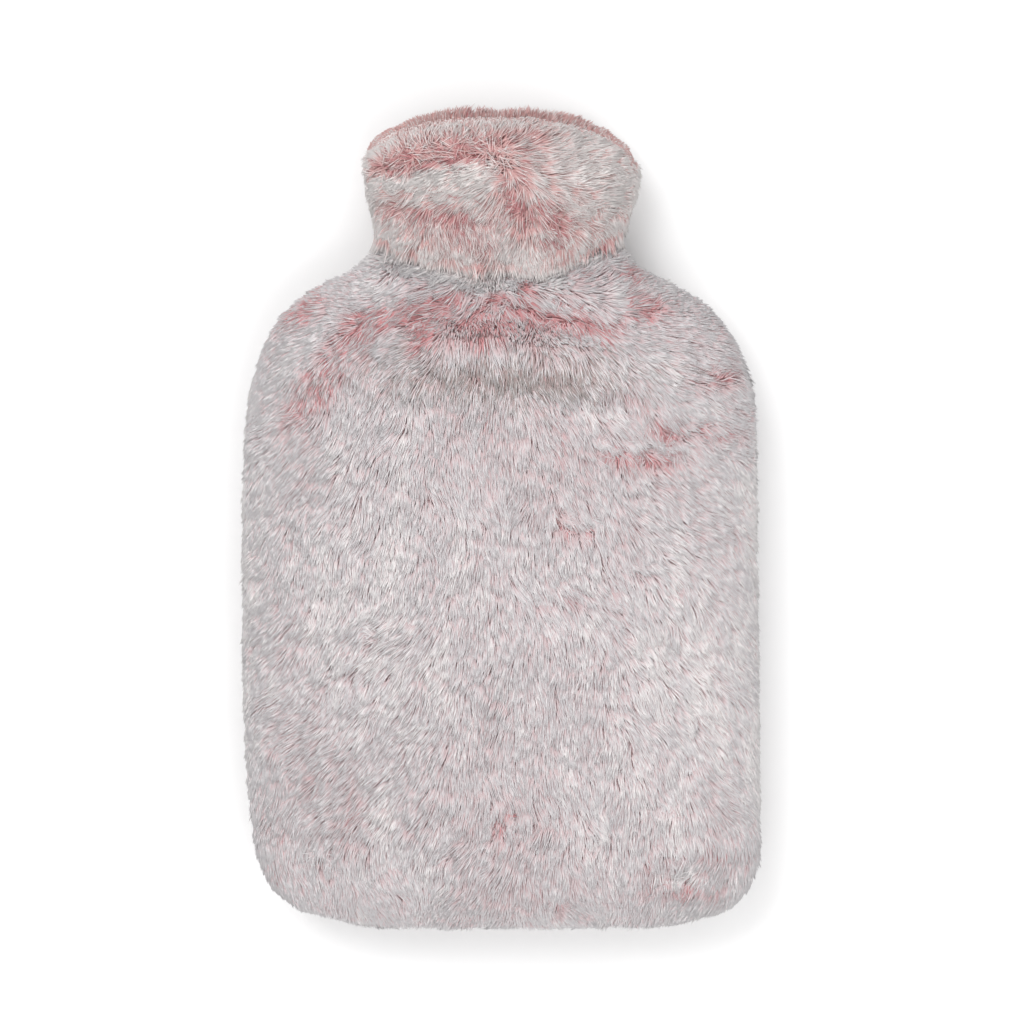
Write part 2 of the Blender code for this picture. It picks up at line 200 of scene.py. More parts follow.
PANEL_TINTS = [
    Tint(*row)
    for row in (
        (-22, 92, 16, 6, 0.54, 0.06), (-31, 85, 12, 4, 0.44, 0.06), (-4, 82, 9, 5, 0.42, 0.06),
        (9, 99, 5, 11, 0.56, 0.08), (20, 87, 18, 5, 0.44, 0.06), (34, 82, 12, 4, 0.44, 0.06),
        (33, 100, 8, 5, 0.36, 0.08), (52, 101, 9, 7, 0.5, 0.06), (64, 90, 10, 4, 0.2, 0.04),
        (-46, 85, 8, 4, 0.36, 0.06), (-32, 74, 3, 7, 0.44, 0.04, 0, -15),
        (42, 75, 3, 7, 0.4, 0.04, 0, 15), (68, 74, 3, 6, 0.28, 0.04, 0, 25),
        # The frostier rows just below the collar's hem are paler fur, with whiter tips that are
        # partly painted light against the hem's shadow.
        (0, 82, 42, 11, 0.2, 0.02), (-4, 77, 38, 5, 0.18, 0.08), (-8, 102, 13, 4, -0.22, -0.1),
        (21, 101, 4, 9, -0.26, -0.1), (45, 94, 4, 12, -0.3, -0.1, 0, 25),
        (-48, 92, 7, 10, -0.18, -0.06, 0, -30), (4, 61, 46, 9, -0.04, 0.04, 0.8),
        (-14, 64, 6, 4, 0, 0.04, 0.2), (22, 58, 10, 3, 0, 0.06, 0.4),
        (-11, 63, 3, 4, 0.36, 0.06), (19, 61, 5, 3, 0.34, 0.06), (42, 54, 5, 4, 0.26, 0.06),
        (-38, 70, 5, 15, 0.16, 0.04, 0.1, -30), (-70, 62, 9, 26, 0.42, 0.04, 0, -42),
        (-52, 84, 12, 6, 0.36, 0.04, 0, 30), (-82, 86, 8, 18, 0.4, 0.04, 0, -56),
        (-78, 73, 4, 20, -0.24, -0.1, 0, -42), (58, 87, 10, 4, 0.42, 0.08, 0, -8),
        (86, 59, 14, 4, 0.34, 0.08, 0, 12), (56, 26, 22, 5, 0.32, 0.04, 0, -6),
        (62, 40, 13, 4, 0.3, 0.04, 0, -22), (84, 37, 15, 4, 0.34, 0.04, 0, -8),
        (52, 52, 14, 3, 0.28, 0.06, 0, -20), (28, 2, 4, 8, 0.24, 0.06),
        (34, -6, 9, 3, 0.26, 0.06), (28, -32, 8, 4, 0.22, 0.04),
        (50, -36, 12, 3, 0.22, 0.04, 0, -20), (-4, 28, 34, 26, 0.16, 0.02),
        (0, -118, 24, 38, 0.19, 0.02), (60, 30, 44, 30, 0.08, 0.02),
        (70, 78, 34, 16, 0.08, 0.02), (-80, 60, 34, 30, 0.1, 0.02),
        (2, -128, 5, 12, 0.12, 0.02), (0, -157, 85, 10, 0.1, 0.04),
        (-96, -103, 9, 50, 0.1, 0.02), (-76, -112, 6, 28, 0.28, 0.04, 0, 12),
        (-60, -124, 5, 22, 0.26, 0.04, 0, -8), (-92, -128, 10, 30, 0.12),
        (80, -140, 17, 3, 0.34, 0.06, 0, 5), (80, -154, 17, 3, 0.38, 0.08, 0, -5),
        (62, -147, 3, 7, 0.3, 0.06), (99, -141, 7, 13, 0.24, 0.04, 0, -25),
        (-48, -40, 20, 48, -0.12, -0.05), (72, -60, 20, 50, -0.12, -0.05),
        (-30, -140, 12, 20, -0.08, -0.04), (58, 66, 14, 6, -0.18, -0.1),
        (45, 47, 14, 5, -0.14, -0.08), (78, -147, 12, 4, -0.3, -0.08),
        # These two frostier, less worn bands along the sides paint light there with whiter tips.
        (-108, 0, 9, 120, -0.15, -0.16), (108, 0, 9, 120, -0.18, -0.18),
    )
]

COLLAR_HEM = ((-60, 115), (-41, 110), (-27, 105), (-8, 100), (17, 102), (38, 107), (60, 115))

COLLAR_CREST = (
    (-60, 150), (-50, 159), (-42, 163), (-33, 166), (-20, 168), (10, 168), (25, 166), (35, 163),
    (45, 158), (52, 152), (60, 142),
)

# Rows with a seventh value darken that share of their strands with painted shade.
COLLAR_TINTS = [
    Tint(*row)
    for row in (
        (0, 140, 70, 45, 0, 0.06), (-20, 163, 34, 5, -0.06, 0.02, 0.05),
        (-34, 150, 22, 3, 0.34, 0.06, 0, 8), (-10, 153, 16, 3, 0.26, 0.04, 0, 10),
        (-24, 131, 24, 4, 0.3, 0.08), (-18, 121, 24, 8, 0.26, 0.02), (5, 146, 5, 9, 0.26, 0.04),
        (8, 131, 6, 10, 0.3, 0.06, 0.08, 10), (20, 123, 6, 9, 0.3, 0.06, 0.08, 20),
        (42, 117, 9, 7, 0.24, 0.04), (50, 129, 6, 4, 0.18, 0.04), (-6, 113, 4, 5, 0.2, 0.06),
        (26, 158, 24, 4, 0.1, 0.06), (-12, 145, 18, 5, -0.3, -0.14),
        (-34, 143, 12, 4, -0.22, -0.12), (36, 141, 18, 12, -0.13, -0.08),
        (34, 148, 20, 2, 0.18, 0.04, 0, -6), (42, 137, 18, 2, 0.2, 0.04),
        (22, 136, 12, 2, 0.16, 0.04), (-56, 140, 6, 30, -0.28, -0.14),
        (58, 140, 6, 30, -0.28, -0.14), (0, 108, 50, 4, -0.12, -0.08),
    )
]


@dataclass(frozen=True)
class PileFinish:
    """The colours and gloss of a two-tone pile, as scene-linear colours.

    Attributes:
        name: The material's name.
        root: Colour of the pile at its backing.
        middle: Colour half-way up.
        deep: The middle colour of the rosiest strands.
        tip: Colour of the frosted tips.
        bright: The tips' colour where the pile is most frosted: whiter fur, and painted light at
            the sides and below the collar's hem.
        frost: How far up the tips' colour starts, from 0 at the root to 1 at the tip.
        roughness: Roughness of the fibres.
        sheen: Weight of the soft sheen at glancing angles.
    """

    name: str
    root: Colour
    middle: Colour
    deep: Colour
    tip: Colour
    bright: Colour
    frost: float
    roughness: float = 0.7
    sheen: float = 0.15

    def material(self) -> bpy.types.Material:
        """Builds the pile's material, which reads the strands' own map.

        Returns:
            The material: along a strand it goes from the root's colour to the tip's, and
            across the map it gets less rosy and more frosted, and at its far end darker with
            painted shade.
        """
        if self.name in bpy.data.materials:
            return bpy.data.materials[self.name]
        made, shader = new_material(self.name, self.roughness, 0.15)
        tree = made.node_tree
        strand_map = tree.nodes.new("ShaderNodeUVMap")
        strand_map.uv_map = PILE_MAP
        tones = add_group(
            tree,
            pile_tones(),
            Root=self.root,
            Middle=self.middle,
            Deep=self.deep,
            Tip=self.tip,
            Bright=self.bright,
            Frost=self.frost,
        )
        tree.links.new(strand_map.outputs["UV"], tones.inputs["Place"])
        tree.links.new(tones.outputs["Colour"], shader.inputs["Base Color"])
        shader.inputs["Sheen Weight"].default_value = self.sheen
        shader.inputs["Sheen Roughness"].default_value = 0.6
        return made


@dataclass(frozen=True)
class BackingFinish:
    """The cloth under the pile, with its dense short underfur.

    Attributes:
        name: The material's name.
        rosy: Colour of the underfur along the partings.
        pale: Colour of the underfur elsewhere.
        grain: Fibre clumps per metre.
    """

    name: str
    rosy: Colour
    pale: Colour
    grain: float

    def material(self) -> bpy.types.Material:
        """Builds the backing's material, a fine uneven nap in two tones.

        Returns:
            The material, which reads Object coordinates and the bed's rosiness.
        """
        if self.name in bpy.data.materials:
            return bpy.data.materials[self.name]
        made, shader = new_material(self.name, 0.95, 0.1)
        tree = made.node_tree
        nap = add_group(tree, backing_nap(), Rosy=self.rosy, Pale=self.pale, Grain=self.grain)
        blush = tree.nodes.new("ShaderNodeAttribute")
        blush.attribute_name = BLUSH
        tree.links.new(blush.outputs["Fac"], nap.inputs["Blush"])
        tree.links.new(nap.outputs["Colour"], shader.inputs["Base Color"])
        bump = tree.nodes.new("ShaderNodeBump")
        bump.inputs["Strength"].default_value = 0.6
        bump.inputs["Distance"].default_value = 0.0008
        tree.links.new(nap.outputs["Height"], bump.inputs["Height"])
        tree.links.new(bump.outputs["Normal"], shader.inputs["Normal"])
        shader.inputs["Sheen Weight"].default_value = 0.2
        return made


def new_material(
    name: str, roughness: float, specular: float
) -> tuple[bpy.types.Material, bpy.types.ShaderNode]:
    """Makes a material with one shader.

    Args:
        name: The material's name.
        roughness: The shader's roughness.
        specular: The level of its reflections, 0.5 for a plain plastic.

    Returns:
        The material and its shader.
    """
    made = bpy.data.materials.new(name)
    made.use_nodes = True
    shader = made.node_tree.nodes["Principled BSDF"]
    shader.inputs["Roughness"].default_value = roughness
    shader.inputs["Specular IOR Level"].default_value = specular
    return made, shader


def add_group(
    tree: bpy.types.NodeTree, group: bpy.types.NodeTree, **values: float | Colour
) -> bpy.types.ShaderNode:
    """Adds a group to a material.

    Args:
        tree: The material's node tree.
        group: The group's node tree.
        values: The group's numbers and scene-linear colours, by input name.

    Returns:
        The group's node.
    """
    node = tree.nodes.new("ShaderNodeGroup")
    node.node_tree = group
    for label, value in values.items():
        node.inputs[label].default_value = (*value, 1.0) if isinstance(value, tuple) else value
    return node


def new_group(name: str, inputs: dict[str, str], outputs: dict[str, str]) -> bpy.types.NodeTree:
    """Makes an empty shader node group.

    Args:
        name: The group's name.
        inputs: Socket types by input name.
        outputs: Socket types by output name.

    Returns:
        The group's node tree, with one Group Input and one Group Output node.
    """
    group = bpy.data.node_groups.new(name, "ShaderNodeTree")
    for label, kind in inputs.items():
        group.interface.new_socket(label, in_out="INPUT", socket_type=kind)
    for label, kind in outputs.items():
        group.interface.new_socket(label, in_out="OUTPUT", socket_type=kind)
    group.nodes.new("NodeGroupInput")
    group.nodes.new("NodeGroupOutput")
    return group


def math_node(
    group: bpy.types.NodeTree, operation: str, *values: float | bpy.types.NodeSocket
) -> bpy.types.NodeSocket:
    """Adds a Math node whose inputs are numbers or sockets.

    Args:
        group: The node tree to add to.
        operation: The node's operation.
        values: Its inputs in order.

    Returns:
        The node's output socket.
    """
    node = group.nodes.new("ShaderNodeMath")
    node.operation = operation
    for index, value in enumerate(values):
        if isinstance(value, bpy.types.NodeSocket):
            group.links.new(value, node.inputs[index])
        else:
            node.inputs[index].default_value = value
    return node.outputs[0]


def mix_colour(
    group: bpy.types.NodeTree,
    share: bpy.types.NodeSocket,
    low: bpy.types.NodeSocket,
    high: bpy.types.NodeSocket | Colour,
    blend: str = "MIX",
) -> bpy.types.NodeSocket:
    """Adds a colour Mix node.

    Args:
        group: The node tree to add to.
        share: How much of the second colour shows.
        low: The first colour.
        high: The second colour, as a socket or as a scene-linear colour.
        blend: The node's blend type.

    Returns:
        The mixed colour's socket.
    """
    node = group.nodes.new("ShaderNodeMix")
    node.data_type = "RGBA"
    node.blend_type = blend
    group.links.new(share, node.inputs["Factor"])
    group.links.new(low, node.inputs["A"])
    if isinstance(high, tuple):
        node.inputs["B"].default_value = (*high, 1.0)
    else:
        group.links.new(high, node.inputs["B"])
    return node.outputs["Result"]


def pile_tones() -> bpy.types.NodeTree:
    """The group that colours a strand by its place on the pile's map.

    Returns:
        The group. Across the map strands get less rosy, and past a set place they are darkened
        with painted shade; up the map they go from the root's colour through the middle one to
        the frosted tip's, and the most frosted tips take a whiter colour that is partly painted
        light.
    """
    name = "pile_tones"
    if name in bpy.data.node_groups:
        return bpy.data.node_groups[name]
    group = new_group(
        name,
        dict.fromkeys(("Root", "Middle", "Deep", "Tip", "Bright"), "NodeSocketColor")
        | {"Place": "NodeSocketVector", "Frost": "NodeSocketFloat"},
        {"Colour": "NodeSocketColor"},
    )
    source = group.nodes["Group Input"].outputs
    split = group.nodes.new("ShaderNodeSeparateXYZ")
    group.links.new(source["Place"], split.inputs[0])
    across, along = split.outputs["X"], split.outputs["Y"]

    grain = group.nodes.new("ShaderNodeTexNoise")
    grain.inputs["Scale"].default_value = 1.0
    grain.inputs["Detail"].default_value = 1.0
    spread = group.nodes.new("ShaderNodeCombineXYZ")
    group.links.new(math_node(group, "MULTIPLY", across, 170.0), spread.inputs["X"])
    group.links.new(math_node(group, "MULTIPLY", along, 2.2), spread.inputs["Y"])
    group.links.new(spread.outputs[0], grain.inputs["Vector"])
    uneven = math_node(group, "SUBTRACT", grain.outputs["Fac"], 0.5)

    rosy = math_node(group, "SUBTRACT", 0.5, across)
    start = math_node(group, "MULTIPLY_ADD", rosy, 0.55, source["Frost"])
    start = math_node(group, "MULTIPLY_ADD", uneven, 0.35, start)
    # Strands past this place across the map are darkened with painted shade: their frost starts
    # higher, they keep off the whiter tip colour, and their colour is multiplied by a warm grey.
    in_painted_shade = math_node(group, "GREATER_THAN", across, PAINTED_SHADE_START)
    start = math_node(group, "MULTIPLY_ADD", in_painted_shade, 0.30, start)
    frosted = math_node(group, "SUBTRACT", along, start)
    frosted = math_node(group, "DIVIDE", frosted, 0.34)
    low = math_node(group, "DIVIDE", along, 0.20)
    rosiest = math_node(group, "MULTIPLY_ADD", rosy, 3.2, -0.5)
    # The most frosted strands take the whiter tip colour: whiter fur, and painted light at the
    # sides and below the collar's hem.
    frost_and_light_share = math_node(group, "MULTIPLY_ADD", rosy, -8.0, -1.6)
    frost_and_light_share = math_node(group, "MULTIPLY_ADD", in_painted_shade, -5.0, frost_and_light_share)
    for share in (frosted, low, rosiest, frost_and_light_share):
        share.node.use_clamp = True
    colour = mix_colour(group, rosiest, source["Middle"], source["Deep"])
    colour = mix_colour(group, low, source["Root"], colour)
    tip = mix_colour(group, frost_and_light_share, source["Tip"], source["Bright"])
    colour = mix_colour(group, frosted, colour, tip)
    # Painted shade: a warm grey multiplied into the strands past that place on the map.
    colour = mix_colour(group, in_painted_shade, colour, (0.69, 0.68, 0.65), "MULTIPLY")
    shade = group.nodes.new("ShaderNodeHueSaturation")
    value = math_node(group, "MULTIPLY_ADD", uneven, 0.24, 1.0)
    group.links.new(value, shade.inputs["Value"])
    group.links.new(colour, shade.inputs["Color"])
    group.links.new(shade.outputs[0], group.nodes["Group Output"].inputs["Colour"])
    return group


def backing_nap() -> bpy.types.NodeTree:
    """The group that gives the backing its fine nap.

    Returns:
        The group: a colour between two tones by the blush, and a height, both uneven with
        noise on Object coordinates.
    """
    name = "backing_nap"
    if name in bpy.data.node_groups:
        return bpy.data.node_groups[name]
    group = new_group(
        name,
        dict.fromkeys(("Rosy", "Pale"), "NodeSocketColor")
        | dict.fromkeys(("Blush", "Grain"), "NodeSocketFloat"),
        {"Colour": "NodeSocketColor", "Height": "NodeSocketFloat"},
    )
    source = group.nodes["Group Input"].outputs
    place = group.nodes.new("ShaderNodeTexCoord")
    stretch = group.nodes.new("ShaderNodeMapping")
    stretch.inputs["Scale"].default_value = (1.0, 0.28, 1.0)
    group.links.new(place.outputs["Object"], stretch.inputs["Vector"])
    fibre = group.nodes.new("ShaderNodeTexNoise")
    fibre.inputs["Detail"].default_value = 3.0
    fibre.inputs["Roughness"].default_value = 0.65
    group.links.new(stretch.outputs[0], fibre.inputs["Vector"])
    group.links.new(source["Grain"], fibre.inputs["Scale"])
    height = math_node(group, "MULTIPLY_ADD", fibre.outputs["Fac"], 2.2, -0.6)
    height.node.use_clamp = True
    share = math_node(group, "MULTIPLY_ADD", height, -0.7, 0.35)
    share = math_node(group, "ADD", share, source["Blush"])
    share.node.use_clamp = True
    colour = mix_colour(group, share, source["Pale"], source["Rosy"])
    group.links.new(colour, group.nodes["Group Output"].inputs["Colour"])
    group.links.new(height, group.nodes["Group Output"].inputs["Height"])
    return group


PANEL_PILE = PileFinish(
    name="panel_pile",
    root=(0.80, 0.44, 0.44),
    middle=(0.56, 0.438, 0.445),
    deep=(0.54, 0.250, 0.258),
    tip=(0.670, 0.645, 0.655),
    bright=(0.800, 0.770, 0.760),
    frost=0.40,
)
COLLAR_PILE = PileFinish(
    name="collar_pile",
    root=(0.90, 0.51, 0.47),
    middle=(0.57, 0.352, 0.340),
    deep=(0.46, 0.205, 0.212),
    tip=(0.74, 0.695, 0.685),
    bright=(0.80, 0.765, 0.745),
    frost=0.38,
)
BACKING = BackingFinish(
    name="pile_backing",
    rosy=(0.70, 0.36, 0.36),
    pale=(0.80, 0.66, 0.66),
    grain=1500.0,
)


def deselect() -> None:
    """Deselects everything, so that an operator acts only on what is picked next."""
    if bpy.context.object and bpy.context.object.mode != "OBJECT":
        bpy.ops.object.mode_set(mode="OBJECT")
    bpy.ops.object.select_all(action="DESELECT")


def modify(piece: bpy.types.Object, kind: str, **settings: float | str) -> None:
    """Adds a modifier to the active piece, and applies it.

    Args:
        piece: The active piece.
        kind: The modifier's type.
        settings: Its settings by name.
    """
    modifier = piece.modifiers.new(kind.lower(), kind)
    for label, value in settings.items():
        setattr(modifier, label, value)
    bpy.ops.object.modifier_apply(modifier=modifier.name)


def ripple(points: Array, size: float, seed: int) -> Array:
    """A smooth uneven field, made of a few seeded waves.

    Args:
        points: Places, as an (n, 3) array in metres.
        size: Length of the field's bumps in metres.
        seed: Picks another field of the same kind.

    Returns:
        Values of about -1 to 1, one for each place.
    """
    rng = np.random.default_rng(seed)
    total = np.zeros(len(points))
    for _ in range(7):
        wave = rng.normal(size=3)
        wave *= 2 * math.pi / (size * rng.uniform(0.7, 1.8) * np.linalg.norm(wave))
        total += np.sin(points @ wave + rng.uniform(0, 2 * math.pi))
    return total / 2.6


def unit(vectors: Array) -> Array:
    """Scales each row of an (n, 3) array to length 1."""
    return vectors / np.maximum(np.linalg.norm(vectors, axis=1, keepdims=True), 1e-12)


def past_line(places: Array, line: Line) -> Array:
    """How far each place lies past a line towards the mouth, in metres."""
    return places[:, 1] - np.interp(places[:, 0] / MM, *zip(*line)) * MM


@dataclass
class Comb:
    """Combs the pile: which way it points at each place, and how rosy it looks there.

    Attributes:
        lay: Directions read off the photograph.
        partings: Lines that the pile falls away from.
        tints: Rosier and frostier patches.
        soften: Distance in millimetres within which one direction blends into the next.
        narrow: Share of its listed reach that a parting takes.
    """

    lay: list[Lay]
    partings: list[Parting]
    tints: list[Tint]
    soften: float = 5.0
    narrow: float = 0.8

    def direction(self, flat: Array) -> tuple[Array, Array]:
        """The pile's direction seen from above, before the partings.

        Args:
            flat: Places seen from above, in millimetres.

        Returns:
            Unit directions, as an (n, 2) array, and how much of a whorl shows at each place,
            from 0 to 1.
        """
        total = np.zeros_like(flat)
        weights = np.zeros(len(flat))
        for row in self.lay:
            away = (flat[:, 0] - row.x) ** 2 + (flat[:, 1] - row.y) ** 2
            weight = 1.0 / (away + self.soften**2) ** 1.6
            turn = math.radians(row.turn)
            total += weight[:, None] * np.array([math.sin(turn), -math.cos(turn)])
            weights += weight
        size = np.linalg.norm(total, axis=1)
        whorl = np.clip(1.5 - 2.5 * size / weights, 0.0, 1.0)
        return total / np.maximum(size, 1e-12)[:, None], whorl

    def parted(self, flat: Array) -> tuple[Array, Array]:
        """How the partings pull the pile apart.

        Args:
            flat: Places seen from above, in millimetres.

        Returns:
            The pull away from the partings, as (n, 2) vectors no longer than 1, and how much
            of a parting shows at each place, from 0 to 1.
        """
        pull = np.zeros_like(flat)
        shown = np.zeros(len(flat))
        spread = np.column_stack([flat, np.zeros(len(flat))])
        uneven = np.clip(0.78 + 0.35 * ripple(spread, 6.0, 303), 0.25, 1.1)
        flat = flat + 1.3 * np.column_stack([ripple(spread, 9.0, 301), ripple(spread, 9.0, 302)])
        for row in self.partings:
            start = np.array([row.x0, row.y0])
            run = np.array([row.x1, row.y1]) - start
            share = np.clip((flat - start) @ run / max(run @ run, 1e-9), 0.0, 1.0)
            away = flat - start - share[:, None] * run
            distance = np.linalg.norm(away, axis=1)
            distance = distance / (row.reach * self.narrow)
            near = row.strength * uneven
            shown = np.maximum(shown, near * np.exp(-2.0 * distance**2))
            near *= np.exp(-(distance**2)) * np.clip(distance / 0.3, 0.25, 1.0)
            pull += near[:, None] * unit(away)
        size = np.linalg.norm(pull, axis=1, keepdims=True)
        return pull / np.maximum(size, 1.0), shown

    def tinted(self, flat: Array) -> tuple[Array, Array, Array]:
        """How the pile's look differs at each place from the coat as a whole.

        Args:
            flat: Places seen from above, in millimetres.

        Returns:
            The added rosiness, the added wear and the share darkened with painted shade at each
            place.
        """
        rosy, worn, painted_shade = np.zeros((3, len(flat)))
        for row in self.tints:
            away = flat - (row.x, row.y)
            cosine, sine = math.cos(math.radians(row.turn)), math.sin(math.radians(row.turn))
            across = (away[:, 0] * cosine + away[:, 1] * sine) / row.across
            along = (away[:, 1] * cosine - away[:, 0] * sine) / row.along
            near = np.exp(-(across**2) - along**2)
            rosy += row.rosy * near
            worn += row.worn * near
            painted_shade += row.painted_shade * near
        return rosy, worn, painted_shade


class Surface:
    """The outside of the beds, on which the pile is laid."""

    def __init__(self, beds: list[bpy.types.Object]) -> None:
        """Gathers the beds' triangles into one search tree.

        Args:
            beds: The cloth beds.
        """
        soups = [triangle_soup(bed.data) for bed in beds]
        starts = np.cumsum([0] + [len(places) for _, places, _ in soups])
        corners = np.concatenate([soup[0] + start for soup, start in zip(soups, starts)])
        places = np.concatenate([soup[1] for soup in soups])
        self.tree = BVHTree.FromPolygons(places.tolist(), corners.tolist(), all_triangles=True)

    def lay(self, points: Array, heights: Array) -> Array:
        """Moves points along the shortest way to a given height over the surface.

        Args:
            points: The points.
            heights: Heights in metres.

        Returns:
            The moved points, as an (n, 3) array.
        """
        found = [self.tree.find_nearest(point)[:2] for point in points.tolist()]
        near = np.array([place for place, _ in found])
        normal = np.array([facing for _, facing in found])
        away = points - near
        outside = (away * normal).sum(axis=1, keepdims=True) > 0.0005
        way = unit(np.where(outside, unit(away), normal) + 0.35 * normal)
        return near + way * heights[:, None]


@dataclass
class Coat:
    """A coat of pile on one bed.

    Attributes:
        comb: The way the pile lies.
        strands: How many strands it has.
        length: Mean length of a strand in metres.
        width: Width of a strand at its thickest in metres.
        height: How high the tips lie over the bed, in metres.
        lock: Distance between the locks, whose strands lean and stand alike, in metres.
        tuft: Distance between the tufts, whose tips gather and are of one tone, in metres.
        gather: How far a strand's tip is drawn to its tuft's, from 0 to 1.
        tousle: How unevenly the strands lean, 1 for a brushed coat.
        floor: Lowest height that a strand may reach, in metres.
        hem: Line that the strands of the front hang down to, as x and y in millimetres.
        crest: Line that the strands of the front stand up to, as x and y in millimetres.
        ruff: Line below which the strands of the front stand higher and get whiter tips, painted
            light against the collar's shadow, as x and y in millimetres.
        rosiness: Share of the strands that are rosy all the way up.
        seed: Seed of the coat's unevenness.
    """

    comb: Comb
    strands: int
    length: float = 0.0082
    width: float = 0.00046
    height: float = 0.0031
    lock: float = 0.0050
    tuft: float = 0.0019
    gather: float = 0.24
    tousle: float = 1.0
    floor: float = 0.0003
    hem: Line = ()
    crest: Line = ()
    ruff: Line = ()
    rosiness: float = 0.165
    seed: int = 1

    def scatter(self, bed: bpy.types.Object, furred: Array, weight: Array) -> tuple[Array, Array]:
        """Scatters the strands' roots over the bed's furred faces, closer along the partings.

        Args:
            bed: The cloth bed.
            furred: Which of its triangles carry pile.
            weight: How densely each triangle is covered.

        Returns:
            The roots and the bed's smooth normals there, as (n, 3) arrays.
        """
        rng = np.random.default_rng(self.seed)
        corners, places, normals = triangle_soup(bed.data)
        chosen = np.flatnonzero(furred)
        a, b, c = (places[corners[chosen, k]] for k in range(3))
        area = 0.5 * np.linalg.norm(np.cross(b - a, c - a), axis=1) * weight[chosen]
        _, shown = self.comb.parted((a + b + c)[:, :2] / 3 / MM)
        area *= 1.0 + 1.3 * shown
        steps = np.cumsum(area) / area.sum()
        draws = (np.arange(self.strands) + rng.uniform(size=self.strands)) / self.strands
        picked = np.minimum(np.searchsorted(steps, draws), len(chosen) - 1)
        u, v = rng.uniform(size=(2, self.strands))
        over = u + v > 1
        u[over], v[over] = 1 - u[over], 1 - v[over]
        shares = np.stack([1 - u - v, u, v], axis=1)[:, :, None]
        roots = (places[corners[chosen[picked]]] * shares).sum(axis=1)
        facing = unit((normals[corners[chosen[picked]]] * shares).sum(axis=1))
        return roots, facing

    def laid(self, roots: Array, facing: Array, rim: Array) -> tuple[Array, Array, Array]:
        """Lays each strand along the bed.

        Args:
            roots: The strands' roots.
            facing: The bed's normals there.
            rim: Which strands stand round the mouth's far lip.

        Returns:
            Each strand's direction along the bed, and how much of a parting and of a whorl
            shows at its root.
        """
        flat = roots[:, :2] / MM
        stray = [2.0 * ripple(roots, 0.013, self.seed + place) for place in (14, 15)]
        way, whorl = self.comb.direction(flat + np.column_stack(stray))
        swing = 0.20 * ripple(roots, 0.032, self.seed + 11)
        swing += 0.12 * ripple(roots, 0.011, self.seed + 12)
        cosine, sine = np.cos(swing), np.sin(swing)
        turned = np.stack(
            [way[:, 0] * cosine - way[:, 1] * sine, way[:, 0] * sine + way[:, 1] * cosine], axis=1
        )
        pull, shown = self.comb.parted(flat)
        front = np.clip(facing[:, 2:3] * 2.0, 0.0, 1.0)
        crossing = 0.85 + 0.25 * ripple(roots, 0.006, self.seed + 13)
        pull = pull * front * np.clip(crossing, 0.3, 1.0)[:, None]
        keep = 1.0 - np.linalg.norm(pull, axis=1, keepdims=True)
        way = turned * keep + pull
        steep = np.clip(1.0 - np.abs(facing[:, 2:3]), 0.0, 1.0)
        full = np.concatenate([way, np.where(rim[:, None], 0.3, -0.6) * steep], axis=1)
        along = unit(full - facing * (full * facing).sum(axis=1, keepdims=True))
        return along, shown * front[:, 0], whorl * front[:, 0]


class Groups:
    """Groups of neighbouring strands that are alike, each round the strand that leads it."""

    def __init__(self, roots: Array, size: float, rng: np.random.Generator) -> None:
        """Picks the leading strands, and puts every strand in the nearest one's group.

        Args:
            roots: The strands' roots.
            size: Distance between the groups, in metres.
            rng: Source of the seeded numbers.
        """
        cells = np.unique(np.floor(roots / size).astype(int), axis=0)
        heads = rng.permutation(len(roots))[: max(int(len(cells) * 0.75), 1)]
        tree = kdtree.KDTree(len(heads))
        for index, head in enumerate(heads):
            tree.insert(roots[head], index)
        tree.balance()
        self.rng = rng
        self.count = len(heads)
        self.group = np.array([tree.find(root)[1] for root in roots])
        self.head = heads[self.group]

    def noise(self, spread: float, mean: float = 0.0) -> Array:
        """Draws one number for each group, and gives it to all the group's strands."""
        return self.rng.normal(mean, spread, self.count)[self.group]


